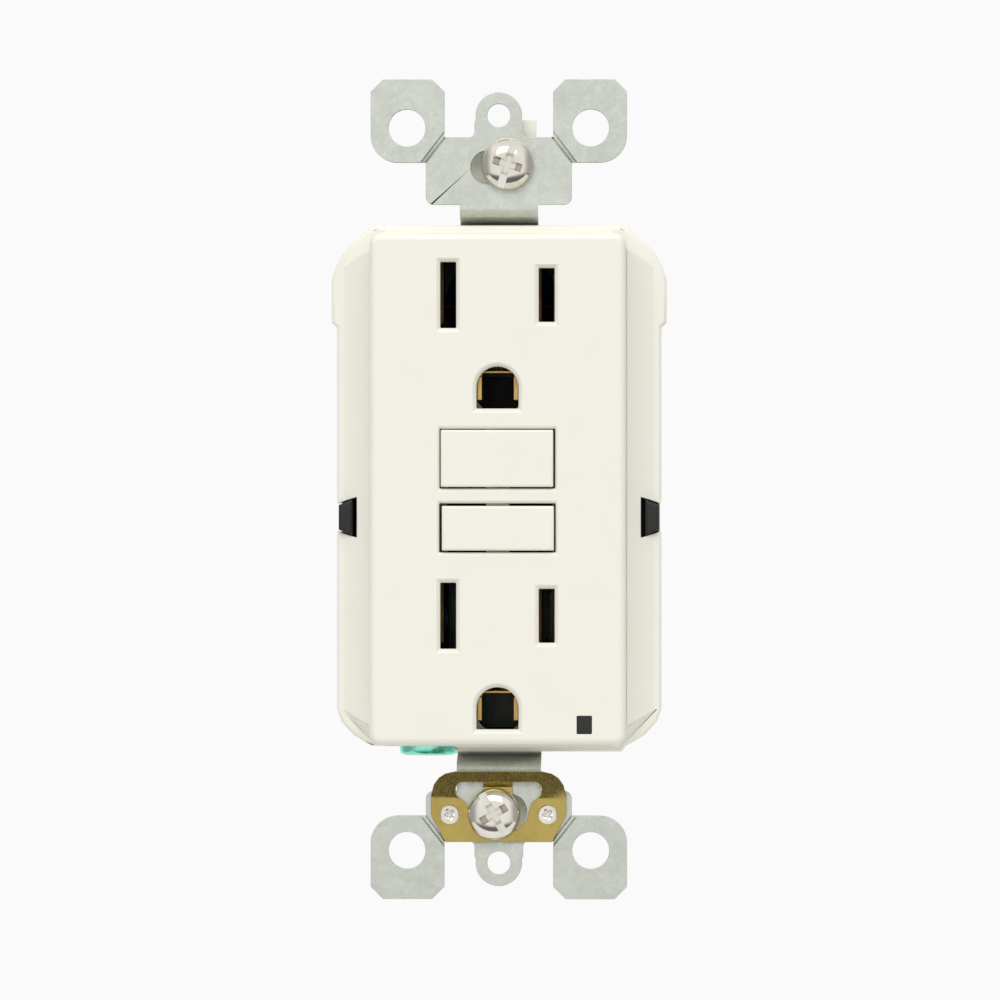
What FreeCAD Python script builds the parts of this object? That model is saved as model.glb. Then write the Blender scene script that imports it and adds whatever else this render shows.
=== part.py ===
"""A duplex ground-fault receptacle on its mounting strap, built as an assembly of separate pieces.

Frame, in millimetres: X to the right of someone facing the receptacle, Y into the wall, Z up.
The origin is the middle of the strap's rear plane, midway between the two box screws.
"""

import FreeCAD, Part
import Sketcher
import math
import os

os.makedirs("parts", exist_ok=True)
doc = FreeCAD.newDocument("ground_fault_receptacle")
sheet = doc.addObject("Spreadsheet::Sheet", "dims")

DIMENSIONS = {
    "strap_thickness": 1.2,
    "strap_half_length": 53.1,
    "strap_half_width": 16.6,
    "ear_inner_edge": 7.05,
    "ear_near_end": 42.3,
    "ear_hole_across": 11.9,
    "ear_hole_up": 46.8,
    "ear_hole_radius": 2.4,
    "ear_corner_radius": 3.5,
    "plate_half_width": 9.45,
    "plate_far_end": 45.6,
    "upper_plate_near_end": 36.85,
    "lower_plate_near_end": 39.1,
    "lobe_radius": 3.0,
    "lobe_half_width": 3.15,
    "wallplate_hole_up": 48.42,
    "wallplate_hole_radius": 1.5,
    "neck_half_width": 5.05,
    "lower_neck_half_width": 5.45,
    "box_slot_up": 41.67,
    "box_slot_length": 7.3,
    "box_slot_width": 4.35,
    "bridge_front": 2.3,
    "rivet_across": 6.35,
    "rivet_up": -42.1,
    "blade_across": 6.35,
    "blade_up": 25.02,
    "blade_down": -16.32,
    "blade_slot_width": 2.05,
    "neutral_slot_length": 8.52,
    "hot_slot_length": 6.94,
    "ground_up": 13.1,
    "ground_down": -28.24,
    "ground_radius": 2.71,
    "pin_passage_radius": 3.1,
    "slot_bevel": 0.5,
    "face_half_width": 16.5,
    "face_half_height": 33.0,
    "face_front": -7.8,
    "face_plate": 1.6,
    "shoulder_front": -2.6,
    "rim_front": -0.4,
    "cover_half_width": 21.0,
    "cover_flare": 21.7,
    "cover_top": 34.2,
    "cover_bottom": -34.0,
    "cover_wall": 1.6,
    "cover_rear": 5.0,
    "reset_up": 3.93,
    "reset_half_width": 7.45,
    "reset_half_height": 3.85,
    "test_up": -4.99,
    "test_half_width": 7.5,
    "test_half_height": 3.16,
    "button_front": -8.3,
    "window_across": 11.2,
    "window_up": -30.38,
    "window_width": 1.96,
    "window_height": 2.35,
    "notch_up": -3.65,
    "notch_half_height": 2.65,
    "notch_floor": 18.4,
    "frame_front": 3.6,
    "frame_rear": 6.0,
    "housing_half_width": 20.6,
    "housing_half_height": 33.4,
    "housing_rear": 25.5,
    "housing_wall": 1.5,
    "housing_corner": 4.6,
    "bay_floor": 13.4,
    "bay_wall": 1.2,
    "bay_up": 15.5,
    "bay_half_height": 5.6,
    "bay_rear": 17.5,
    "board_front": 20.0,
    "board_thickness": 1.6,
    "terminal_depth": 11.2,
    "terminal_shank_radius": 2.0,
    "terminal_head_radius": 4.1,
    "ground_screw_across": -9.4,
    "ground_screw_depth": 9.2,
    "mounting_shank_radius": 1.72,
    "mounting_head_radius": 3.35,
    "pin_radius": 1.1,
    "solenoid_depth": 14.6,
    "toroid_up": 23.9,
    "boss_across": 15.9,
    "boss_up": 26.4,
}
for row, (alias, value) in enumerate(DIMENSIONS.items(), start=1):
    sheet.set("A%d" % row, alias)
    sheet.set("B%d" % row, str(value))
    sheet.setAlias("B%d" % row, alias)
doc.recompute()


class Size:
    """A length that carries its number and the spreadsheet formula it comes from."""

    def __init__(self, number, formula=None):
        self.number = float(number)
        self.bound = formula is not None
        self.formula = formula if self.bound else "(%r)" % self.number

    def combine(self, other, sign, number):
        other = as_size(other)
        formula = "(%s %s %s)" % (self.formula, sign, other.formula)
        return Size(number(self.number, other.number), formula if self.bound or other.bound else None)

    def __add__(self, other):
        return self.combine(other, "+", lambda a, b: a + b)

    def __sub__(self, other):
        return self.combine(other, "-", lambda a, b: a - b)

    def __mul__(self, other):
        return self.combine(other, "*", lambda a, b: a * b)

    def __truediv__(self, other):
        return self.combine(other, "/", lambda a, b: a / b)

    def __radd__(self, other):
        return as_size(other) + self

    def __rsub__(self, other):
        return as_size(other) - self

    def __rmul__(self, other):
        return as_size(other) * self

    def __neg__(self):
        return self * -1

    def __float__(self):
        return self.number


def as_size(value):
    return value if isinstance(value, Size) else Size(value)


class Named:
    """The sheet's cells as attributes."""


d = Named()
for alias in DIMENSIONS:
    setattr(d, alias, Size(sheet.get(alias), "dims." + alias))

PLANES = {"front": "XZ_Plane", "top": "XY_Plane", "side": "YZ_Plane"}
SIDES = {"hot": 1, "neutral": -1}
ENDS = {"upper": 1, "lower": -1}
pieces = []


# ---- drawing helpers -------------------------------------------------------------------------


def bind(item, name, size):
    """Sets a property and ties it to the sheet when the size comes from there."""
    size = as_size(size)
    if "." not in name:
        setattr(item, name, size.number)
    if size.bound or "." in name:
        item.setExpression(name, size.formula)


def new_body(name):
    body = doc.addObject("PartDesign::Body", name)
    body.Label = name
    pieces.append(body)
    return body


def new_sketch(body, plane, level):
    """A sketch across one axis: front looks along Y, top along Z and side along X."""
    sketch = body.newObject("Sketcher::SketchObject", body.Name + "_sketch")
    origin = next(item for item in body.Origin.OriginFeatures if item.Role == PLANES[plane])
    sketch.AttachmentSupport = [(origin, "")]
    sketch.MapMode = "FlatFace"
    bind(sketch, "AttachmentOffset.Base.z", -level if plane == "front" else level)
    return sketch


def hold(sketch, constraint, size):
    index = sketch.addConstraint(constraint)
    if as_size(size).bound:
        sketch.setExpression("Constraints[%d]" % index, size.formula)


def pin(sketch, geometry, point, place):
    """Fixes a point of a sketch at its place."""
    for kind, axis, size in zip(("DistanceX", "DistanceY"), (-2, -1), place):
        if float(size) == 0:
            sketch.addConstraint(Sketcher.Constraint("PointOnObject", geometry, point, axis))
        else:
            hold(sketch, Sketcher.Constraint(kind, -1, 1, geometry, point, float(size)), size)


def flat(place):
    return FreeCAD.Vector(float(place[0]), float(place[1]), 0)


def polygon(*corners):
    def draw(sketch):
        first = sketch.GeometryCount
        for start, end in zip(corners, corners[1:] + corners[:1]):
            sketch.addGeometry(Part.LineSegment(flat(start), flat(end)), False)
        for index, corner in enumerate(corners):
            following = first + (index + 1) % len(corners)
            sketch.addConstraint(Sketcher.Constraint("Coincident", first + index, 2, following, 1))
            pin(sketch, first + index, 1, corner)
    return draw


def rectangle(left, right, low, high):
    return polygon((left, low), (right, low), (right, high), (left, high))


def centred(across, up, half_width, half_height):
    return rectangle(across - half_width, across + half_width, up - half_height, up + half_height)


def mirrored(*corners):
    """An outline that is the same left and right, from its right half, listed from one end to the other."""
    left = [(-across, up) for across, up in reversed(corners)]
    return polygon(*corners, *left)


def circle(across, up, radius):
    def draw(sketch):
        round_edge = Part.Circle(flat((across, up)), FreeCAD.Vector(0, 0, 1), float(radius))
        index = sketch.addGeometry(round_edge, False)
        pin(sketch, index, 3, (across, up))
        hold(sketch, Sketcher.Constraint("Radius", index, float(radius)), radius)
    return draw


def stripe(start, end, width):
    """A thin band along a slanted line."""
    run = FreeCAD.Vector(end[0] - start[0], end[1] - start[1], 0).normalize()
    aside = FreeCAD.Vector(-run.y, run.x, 0) * (width / 2)
    first, last = flat(start), flat(end)
    corners = (first + aside, first - aside, last - aside, last + aside)
    return polygon(*[(place.x, place.y) for place in corners])


def extrude(body, kind, plane, low, high, shapes, sign):
    """Adds or cuts the shapes from low to high along the axis that the plane crosses."""
    before = body.Shape.Volume if body.Tip else 0
    start_high = (plane == "front") == (sign > 0)
    sketch = new_sketch(body, plane, high if start_high else low)
    for draw in shapes:
        draw(sketch)
    feature = body.newObject(kind, body.Name + "_step")
    feature.Profile = (sketch, [""])
    bind(feature, "Length", as_size(high) - low)
    doc.recompute()
    change = (body.Shape.Volume - before) * sign
    if change <= 0:
        raise ValueError("%s: %s changes nothing" % (body.Label, feature.Name))
    return feature


def add(body, plane, low, high, *shapes):
    return extrude(body, "PartDesign::Pad", plane, low, high, shapes, 1)


def cut(body, plane, low, high, *shapes):
    return extrude(body, "PartDesign::Pocket", plane, low, high, shapes, -1)


def edges_in(shape, x=None, y=None, z=None, along=None):
    """The names of the edges wholly inside the ranges given, and along one axis if it is given."""
    near = 0.01
    names = []
    for index, edge in enumerate(shape.Edges, start=1):
        box = edge.BoundBox
        spans = (("x", x, box.XMin, box.XMax), ("y", y, box.YMin, box.YMax), ("z", z, box.ZMin, box.ZMax))
        inside = all(wanted is None or (float(wanted[0]) - near <= low and high <= float(wanted[1]) + near)
                     for axis, wanted, low, high in spans)
        straight = along is None or all(
            (high - low > near) == (axis == along) for axis, wanted, low, high in spans)
        if inside and straight:
            names.append("Edge%d" % index)
    return names


def soften(body, kind, size, **ranges):
    """Rounds or bevels the edges that lie in the ranges."""
    base = body.Tip
    names = edges_in(base.Shape, **ranges)
    if not names:
        raise ValueError("%s has no edge in %s" % (body.Label, ranges))
    feature = body.newObject("PartDesign::" + kind, body.Name + "_" + kind.lower())
    feature.Base = (base, names)
    bind(feature, "Radius" if kind == "Fillet" else "Size", size)
    doc.recompute()


def at(size):
    return (size, size)


def block(name, x, y, z):
    item = doc.addObject("Part::Box", name)
    for side, axis, (low, high) in zip(("Length", "Width", "Height"), "xyz", (x, y, z)):
        bind(item, side, as_size(high) - low)
        bind(item, "Placement.Base." + axis, low)
    return item


TURNS = {
    "x": FreeCAD.Rotation(FreeCAD.Vector(0, 1, 0), 90),
    "y": FreeCAD.Rotation(FreeCAD.Vector(1, 0, 0), -90),
    "z": FreeCAD.Rotation(),
}


def rod(name, axis, centre, low, high, radius):
    """A cylinder along an axis; centre gives its two other coordinates in order."""
    item = doc.addObject("Part::Cylinder", name)
    bind(item, "Radius", radius)
    bind(item, "Height", as_size(high) - low)
    place = list(centre)
    place.insert("xyz".index(axis), low)
    item.Placement = FreeCAD.Placement(FreeCAD.Vector(*[float(size) for size in place]), TURNS[axis])
    for letter, size in zip("xyz", place):
        bind(item, "Placement.Base." + letter, size)
    return item


def less(name, base, *tools):
    result = base
    for number, tool in enumerate(tools, start=1):
        item = doc.addObject("Part::Cut", name if number == len(tools) else name + "_stage")
        item.Base = result
        item.Tool = tool
        result = item
    return result


def joined(name, *items):
    item = doc.addObject("Part::MultiFuse", name)
    item.Shapes = list(items)
    return item


def group(name, *items):
    """Identical pieces that share a node as separate solids."""
    item = doc.addObject("Part::Compound", name)
    item.Links = list(items)
    return item


def finished(item, name):
    item.Label = name
    pieces.append(item)
    return item


def sleeve(name, axis, centre, low, high, outer, inner):
    wall = rod(name + "_outside", axis, centre, low, high, outer)
    bore = rod(name + "_inside", axis, centre, as_size(low) - 1, as_size(high) + 1, inner)
    return less(name, wall, bore)


# ---- strap and what is fixed to it -----------------------------------------------------------


def strap_end(body, up):
    """One end of the strap: neck, plate, ears and the lobe that takes the wallplate screw."""
    front = -d.strap_thickness
    far_bevel = 1.6
    near_end = d.upper_plate_near_end if up > 0 else d.lower_plate_near_end
    neck = d.neck_half_width if up > 0 else d.lower_neck_half_width
    half_outline = (
        (neck, (d.upper_plate_near_end - 0.2) * up),
        (neck, near_end * up),
        (d.plate_half_width, near_end * up),
        (d.plate_half_width, d.ear_near_end * up),
        (d.strap_half_width, d.ear_near_end * up),
        (d.strap_half_width, (d.strap_half_length - far_bevel) * up),
        (d.strap_half_width - far_bevel, d.strap_half_length * up),
        (d.ear_inner_edge + far_bevel, d.strap_half_length * up),
        (d.ear_inner_edge, (d.strap_half_length - far_bevel) * up),
        (d.ear_inner_edge, d.plate_far_end * up),
    )
    add(body, "front", front, 0, mirrored(*half_outline))
    foot, crown = sorted((d.plate_far_end * up - up, d.wallplate_hole_up * up), key=float)
    add(body, "front", front, 0, rectangle(-d.lobe_half_width, d.lobe_half_width, foot, crown))
    for side in SIDES.values():
        lobe_edge = at(d.lobe_half_width * side)
        soften(body, "Fillet", 1.1, along="y", x=lobe_edge, z=at(d.wallplate_hole_up * up))
        soften(body, "Fillet", 0.7, along="y", x=lobe_edge, z=at(d.plate_far_end * up))
        soften(body, "Fillet", 1.0, along="y", x=at(d.plate_half_width * side), z=at(near_end * up))
        corner = {"x": at(d.strap_half_width * side), "z": at(d.ear_near_end * up)}
        soften(body, "Fillet", d.ear_corner_radius, along="y", **corner)
    add(body, "front", front, 0, circle(0, d.wallplate_hole_up * up, d.lobe_radius))


def strap_openings(body, up):
    """The wallplate, ear and box-screw holes of one end, and the lines that let the ears snap off."""
    front = -d.strap_thickness
    cut(body, "front", front, 0, circle(0, d.wallplate_hole_up * up, d.wallplate_hole_radius))
    cut(body, "front", front, 0, *[
        circle(d.ear_hole_across * side, d.ear_hole_up * up, d.ear_hole_radius) for side in SIDES.values()])
    straight = (d.box_slot_length - d.box_slot_width) / 2
    cut(body, "front", front, 0, centred(0, d.box_slot_up * up, straight, d.box_slot_width / 2))
    for side in SIDES.values():
        cut(body, "front", front, 0, circle(straight * side, d.box_slot_up * up, d.box_slot_width / 2))
    score_depth = 0.35
    score_width = 0.2
    score_offset = 0.24
    for side in SIDES.values():
        lines = []
        for offset in (-score_offset, score_offset):
            start = ((6.75 + offset * 0.8) * side, (46.2 + offset * 0.6) * up)
            end = ((10.0 + offset * 0.8) * side, (42.0 + offset * 0.6) * up)
            lines.append(stripe(start, end, score_width))
        cut(body, "front", front, front + score_depth, *lines)


def strap_bend(body, up):
    """The step that takes the neck back under the edge of the cover."""
    front = -d.strap_thickness
    back = d.bridge_front + d.strap_thickness
    bend = polygon(
        (front, 36.9 * up), (front, 35.45 * up), (d.bridge_front, 34.4 * up), (d.bridge_front, 32.6 * up),
        (back, 32.6 * up), (back, 35.1 * up), (0, 36.3 * up), (0, 36.9 * up))
    neck = d.neck_half_width if up > 0 else d.lower_neck_half_width
    add(body, "side", -neck, neck, bend)
    for depth, up_at, radius in ((front, 35.45, 1.2), (back, 35.1, 1.2), (d.bridge_front, 34.4, 0.5)):
        soften(body, "Fillet", radius, along="x", y=at(depth), z=at(up_at * up))


def mounting_strap():
    body = new_body("mounting_strap")
    back = d.bridge_front + d.strap_thickness
    waist = 3.3
    middle = 9.0
    collar = d.neck_half_width
    add(body, "front", d.bridge_front, back, mirrored(
        (collar, -33.2), (collar, -22.4), (waist, -21.4), (waist, -10.4), (middle, -9.6),
        (middle, 9.2), (collar, 9.9), (collar, 17.5), (waist, 18.5), (waist, 30.4), (collar, 31.4),
        (collar, 33.2)))
    for up in ENDS.values():
        strap_bend(body, up)
        strap_end(body, up)
        strap_openings(body, up)
    for side in SIDES.values():
        cut(body, "front", -d.strap_thickness, 0, circle(d.rivet_across * side, d.rivet_up, 0.8))
    cut(body, "front", d.bridge_front, back, rectangle(-6.8, 6.8, -8.6, 8.2))
    for up in (d.ground_up, d.ground_down):
        cut(body, "front", d.bridge_front, back, circle(0, up - 0.35, d.pin_passage_radius))
    tab_left, tab_right = -13.2, -5.6
    tab_low, tab_high = -31.1, -29.9
    add(body, "front", d.bridge_front, back, rectangle(tab_left, -collar + 0.4, tab_low, -26.8))
    add(body, "front", d.bridge_front, 13.2, rectangle(tab_left, tab_right, tab_low, tab_high))
    cut(body, "top", tab_low, tab_high, circle(d.ground_screw_across, d.ground_screw_depth, 2.06))


def ground_contact(name, up):
    """A sprung brass channel that grips the plug's round ground pin."""
    body = new_body(name)
    thickness = 0.6
    inner = 2.06
    front = -5.7
    outer = inner + thickness
    low, high = up - 1.6, up + 1.9
    walls = polygon(
        (-outer, low), (-inner, low), (-inner, high), (inner, high),
        (inner, low), (outer, low), (outer, high + thickness), (-outer, high + thickness))
    add(body, "front", front, d.bridge_front - thickness, walls)
    cut(body, "front", front, front + 1.8, rectangle(-outer, outer, up + 1.4, high + thickness))
    foot = 4.7
    add(body, "front", d.bridge_front - thickness, d.bridge_front, polygon(
        (-foot, low), (-inner, low), (-inner, high), (inner, high),
        (inner, low), (foot, low), (foot, high + 1.6), (-foot, high + 1.6)))
    soften(body, "Fillet", 0.4, along="x", y=at(front + 1.8), z=at(high + thickness))


def self_grounding_clip():
    """A brass spring plate that rides on the lower plate and touches the box screw's shank."""
    body = new_body("self_grounding_clip")
    thickness = 0.4
    seat = -d.strap_thickness
    half_width = 8.75
    near_end, fold, far_end = -36.5, -40.1, -45.7
    lift = 1.1
    add(body, "side", -half_width, half_width, polygon(
        (seat, far_end), (seat - thickness, far_end), (seat - thickness, fold),
        (seat - thickness - lift, near_end), (seat - lift, near_end), (seat, fold)))
    beyond = 1
    wide = half_width + beyond
    front = seat - thickness - lift - beyond
    for side in SIDES.values():
        cut(body, "front", front, seat, polygon(
            (5.6 * side, near_end + beyond), (5.6 * side, near_end), (6.9 * side, near_end - 0.3),
            (7.75 * side, near_end - 0.85), (8.4 * side, near_end - 1.75),
            (half_width * side, near_end - 3.1), (wide * side, near_end - 3.1),
            (wide * side, near_end + beyond)))
        cut(body, "front", front, seat, polygon(
            (half_width * side, -42.2), (6.9 * side, far_end), (6.9 * side, far_end - beyond),
            (wide * side, far_end - beyond), (wide * side, -42.2)))
    opening = mirrored(
        (2.3, -44.2), (3.6, -42.8), (4.05, -41.2), (4.3, -40.5), (5.55, -39.6), (5.55, -37.9))
    cut(body, "front", front, seat, opening)
    for side in SIDES.values():
        soften(body, "Fillet", 0.9, along="y", x=at(5.55 * side), z=at(-37.9))
        soften(body, "Fillet", 0.7, along="y", x=at(5.55 * side), z=at(-39.6))
    finger = polygon(
        (-2.25, -37.7), (-1.9, -38.2), (-1.55, -38.55), (-1.55, -39.6),
        (-1.25, -39.6), (-1.25, -38.45), (-1.6, -38.0), (-1.95, -37.6))
    add(body, "side", -2.0, 1.8, finger)
    for side in SIDES.values():
        cut(body, "front", front, seat, circle(d.rivet_across * side, d.rivet_up, 0.8))


def clip_rivets():
    rivets = []
    for name, side in SIDES.items():
        place = (d.rivet_across * side, d.rivet_up)
        shank = rod("rivet_shank_" + name, "y", place, -1.7, 0, 0.75)
        head = rod("rivet_head_" + name, "y", place, -2.1, -1.6, 1.25)
        rivets.append(joined("rivet_" + name, shank, head))
    finished(group("clip_rivets", *rivets), "clip_rivets")


# ---- plastic shells --------------------------------------------------------------------------


def cover_rim(body):
    """The cover's outline with its flared upper half and cut corners."""
    flare_low = 21.3
    add(body, "front", d.rim_front, d.cover_rear, mirrored(
        (15.9, d.cover_bottom), (16.4, -33.3), (17.5, -32.7), (18.9, -31.8), (20.4, -30.2),
        (d.cover_half_width, -28.6), (d.cover_half_width, flare_low - 0.3), (d.cover_flare, flare_low + 0.3),
        (d.cover_flare, 27.2), (21.15, 28.9), (20.35, 30.4), (19.5, 31.45), (18.1, 32.7), (16.6, 33.8),
        (15.8, d.cover_top)))
    soften(body, "Fillet", 0.5, y=at(d.rim_front))


def cover_shoulder(body):
    """The slope from the rim up to the foot of the face, with a facet at each corner."""
    low, high = d.cover_bottom + 0.6, d.cover_top - 0.6
    foot = mirrored((15.6, low), (20.1, -28.6), (20.1, 20.5), (20.1, 28.8), (16.0, high))
    crest = mirrored((14.6, low), (16.6, -30.6), (16.6, 20.5), (16.6, 31.1), (14.5, high))
    sections = []
    for level, outline in ((d.rim_front, foot), (d.shoulder_front, crest)):
        sketch = new_sketch(body, "front", level)
        outline(sketch)
        sections.append(sketch)
    loft = body.newObject("PartDesign::AdditiveLoft", "cover_shoulder_loft")
    loft.Profile = (sections[0], [""])
    loft.Sections = [(sections[1], [""])]
    loft.Ruled = True
    doc.recompute()


def cover_face(body):
    """The raised face with round corners, made of two crossed blocks and four round posts."""
    radius = 1.4
    across, up = d.face_half_width - radius, d.face_half_height - radius
    add(body, "front", d.face_front, d.rim_front, centred(0, 0, across, d.face_half_height))
    add(body, "front", d.face_front, d.rim_front, centred(0, 0, d.face_half_width, up))
    corners = [circle(across * side, up * end, radius) for side in SIDES.values() for end in ENDS.values()]
    add(body, "front", d.face_front, d.rim_front, *corners)
    soften(body, "Fillet", 0.95, y=at(d.face_front))


def cover_openings(body):
    """Blade slots, ground holes, button openings, the lamp window and their lead-in bevels."""
    face_back = d.face_front + d.face_plate
    for up in (d.blade_up, d.blade_down):
        for side, length in ((-1, d.neutral_slot_length), (1, d.hot_slot_length)):
            cut(body, "front", d.face_front, face_back, centred(
                d.blade_across * side, up, d.blade_slot_width / 2, length / 2))
    for up in (d.ground_up, d.ground_down):
        cut(body, "front", d.face_front, face_back, circle(0, up, d.ground_radius))
        cut(body, "front", d.face_front, face_back, rectangle(
            -d.ground_radius, d.ground_radius, up - d.ground_radius, up))
    bevelled = {"x": (-7.6, 7.6), "y": at(d.face_front)}
    soften(body, "Chamfer", d.slot_bevel, z=(10, 30), **bevelled)
    soften(body, "Chamfer", d.slot_bevel, z=(-31.5, -11), **bevelled)
    cut(body, "front", d.face_front, face_back, centred(
        0, d.reset_up, d.reset_half_width, d.reset_half_height))
    cut(body, "front", d.face_front, face_back, centred(
        0, d.test_up, d.test_half_width, d.test_half_height))
    soften(body, "Chamfer", 0.3, z=(-9, 8), **bevelled)
    cut(body, "front", d.face_front, d.rim_front + d.cover_wall, centred(
        d.window_across, d.window_up, d.window_width / 2, d.window_height / 2))


def front_cover():
    body = new_body("front_cover")
    cover_rim(body)
    cover_shoulder(body)
    cover_face(body)
    inner_width = d.face_half_width - d.cover_wall
    inner_height = d.face_half_height - d.cover_wall
    cut(body, "front", d.face_front + d.face_plate, d.rim_front + d.cover_wall, centred(
        0, 0, inner_width, inner_height))
    side_wall = d.cover_half_width - d.cover_wall
    cut(body, "front", d.rim_front + d.cover_wall, d.cover_rear, mirrored(
        (15.7, d.cover_bottom + d.cover_wall), (side_wall, -27.8), (side_wall, 28.4),
        (15.7, d.cover_top - d.cover_wall)))
    neck_passage = 5.6
    cut(body, "front", d.bridge_front - 0.3, d.cover_rear, rectangle(
        -neck_passage, neck_passage, d.cover_bottom - 1, d.cover_top + 1))
    for side in SIDES.values():
        floor, mouth = d.notch_floor * side, (d.cover_flare + 1) * side
        narrow = d.notch_half_height - 1.45
        cut(body, "front", d.shoulder_front - 1, d.cover_rear, polygon(
            (floor, d.notch_up - d.notch_half_height), (mouth, d.notch_up - narrow),
            (mouth, d.notch_up + narrow), (floor, d.notch_up + d.notch_half_height)))
    cut(body, "front", d.shoulder_front - 1, d.cover_rear, rectangle(
        -16.5, -neck_passage, d.cover_bottom - 1, d.cover_bottom + 0.75))
    cover_openings(body)
    post_radius = 2.2
    posts = [(side, up) for side in SIDES.values() for up in ENDS.values()]
    for side, up in posts:
        place = (d.boss_across * side, d.boss_up * up)
        add(body, "front", d.rim_front + d.cover_wall - 0.4, d.frame_front, circle(*place, post_radius))
        cut(body, "front", d.rim_front + 0.6, d.frame_front, circle(*place, 1.2))


def housing_interior(body):
    """The hollow: full width between the terminal bays, narrow beside them."""
    wide = d.housing_half_width - d.housing_wall
    narrow = d.bay_floor - d.bay_wall
    high = d.housing_half_height - d.housing_wall
    near_wall = d.bay_up - d.bay_half_height - d.bay_wall
    far_wall = d.bay_up + d.bay_half_height + d.bay_wall
    corner = d.housing_corner - 0.9
    cut(body, "front", d.cover_rear, d.housing_rear - d.housing_wall - 0.1, mirrored(
        (wide - corner, -high), (wide, corner - high), (wide, -far_wall), (narrow, -far_wall),
        (narrow, -near_wall), (wide, -near_wall), (wide, near_wall), (narrow, near_wall),
        (narrow, far_wall), (wide, far_wall), (wide, high - corner), (wide - corner, high)))


def terminal_bay(body, side, up):
    """A bay in the flank for one pair of terminal plates, with two wire holes from the back."""
    low, high = d.bay_up * up - d.bay_half_height, d.bay_up * up + d.bay_half_height
    beyond = (d.housing_half_width + 1) * side
    floor = d.bay_floor * side
    open_from = 6.6
    arm_level = 7.2
    inner = (d.bay_floor - d.bay_wall - 0.3) * side
    rim = (d.housing_half_width - d.housing_wall) * side

    def band(first, last):
        left, right = sorted((first, last), key=float)
        return rectangle(left, right, low, high)

    cut(body, "front", d.cover_rear, open_from, band(inner, rim))
    cut(body, "front", open_from, arm_level, band(inner, beyond))
    cut(body, "front", arm_level, d.bay_rear, band(floor, beyond))
    left, right = sorted((inner, floor), key=float)
    cut(body, "side", left, right, circle(d.terminal_depth, d.bay_up * up, 2.5))
    for offset in (-2.9, 2.9):
        cut(body, "front", d.bay_rear, d.housing_rear, centred(
            16.05 * side, d.bay_up * up + offset, 1.4, 1.7))


def rear_housing():
    body = new_body("rear_housing")
    wide, high, corner = d.housing_half_width, d.housing_half_height, d.housing_corner
    add(body, "front", d.cover_rear, d.housing_rear, mirrored(
        (wide - corner, -high), (wide, corner - high), (wide, high - corner), (wide - corner, high)))
    soften(body, "Fillet", 1.0, y=at(d.housing_rear))
    cut(body, "front", d.cover_rear, d.frame_rear + 0.05, mirrored(
        (15.3, -31.75), (18.95, -28.1), (18.95, 28.1), (15.3, 31.75)))
    housing_interior(body)
    corners = [(side, up) for side in SIDES.values() for up in ENDS.values()]
    for side, up in corners:
        add(body, "front", d.frame_rear + 0.1, d.housing_rear - 0.5, circle(
            d.boss_across * side, d.boss_up * up, 3.1))
        add(body, "front", d.board_front + d.board_thickness, d.housing_rear - 0.5, circle(
            10.3 * side, 28.5 * up, 1.2))
        terminal_bay(body, side, up)
    left, right = -14.2, -4.8
    low, high_edge = -33.4, -29.6
    deep = 14.5
    wall = d.bay_wall
    add(body, "front", d.frame_rear + 0.1, deep + wall, rectangle(
        left - wall, right + wall, low + 0.5, high_edge + wall))
    cut(body, "front", d.cover_rear, deep, rectangle(left, right, low - 1, high_edge))
    cut(body, "top", high_edge - 0.1, high_edge + wall, circle(
        d.ground_screw_across, d.ground_screw_depth, 2.5))
    for side, up in corners:
        place = (d.boss_across * side, d.boss_up * up)
        cut(body, "front", 12, d.housing_rear, circle(*place, 2.6))
        cut(body, "front", d.frame_rear, 12, circle(*place, 1.4))
    for side in SIDES.values():
        edge = 20.75 * side
        root = 18.95 * side
        add(body, "front", -1.5, d.cover_rear + 1, polygon(
            (root, d.notch_up - 2.35), (edge, d.notch_up - 1.6), (edge, d.notch_up + 1.6),
            (root, d.notch_up + 2.35)))
        soften(body, "Fillet", 0.4, y=at(-1.5), x=sorted((edge, root), key=float))
    gauge_depth = 0.5
    cut(body, "front", d.housing_rear - gauge_depth, d.housing_rear, centred(0, -24, 5, 1.4))
    cut(body, "front", d.housing_rear - gauge_depth, d.housing_rear, centred(0, 0, 8.5, 13))


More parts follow.
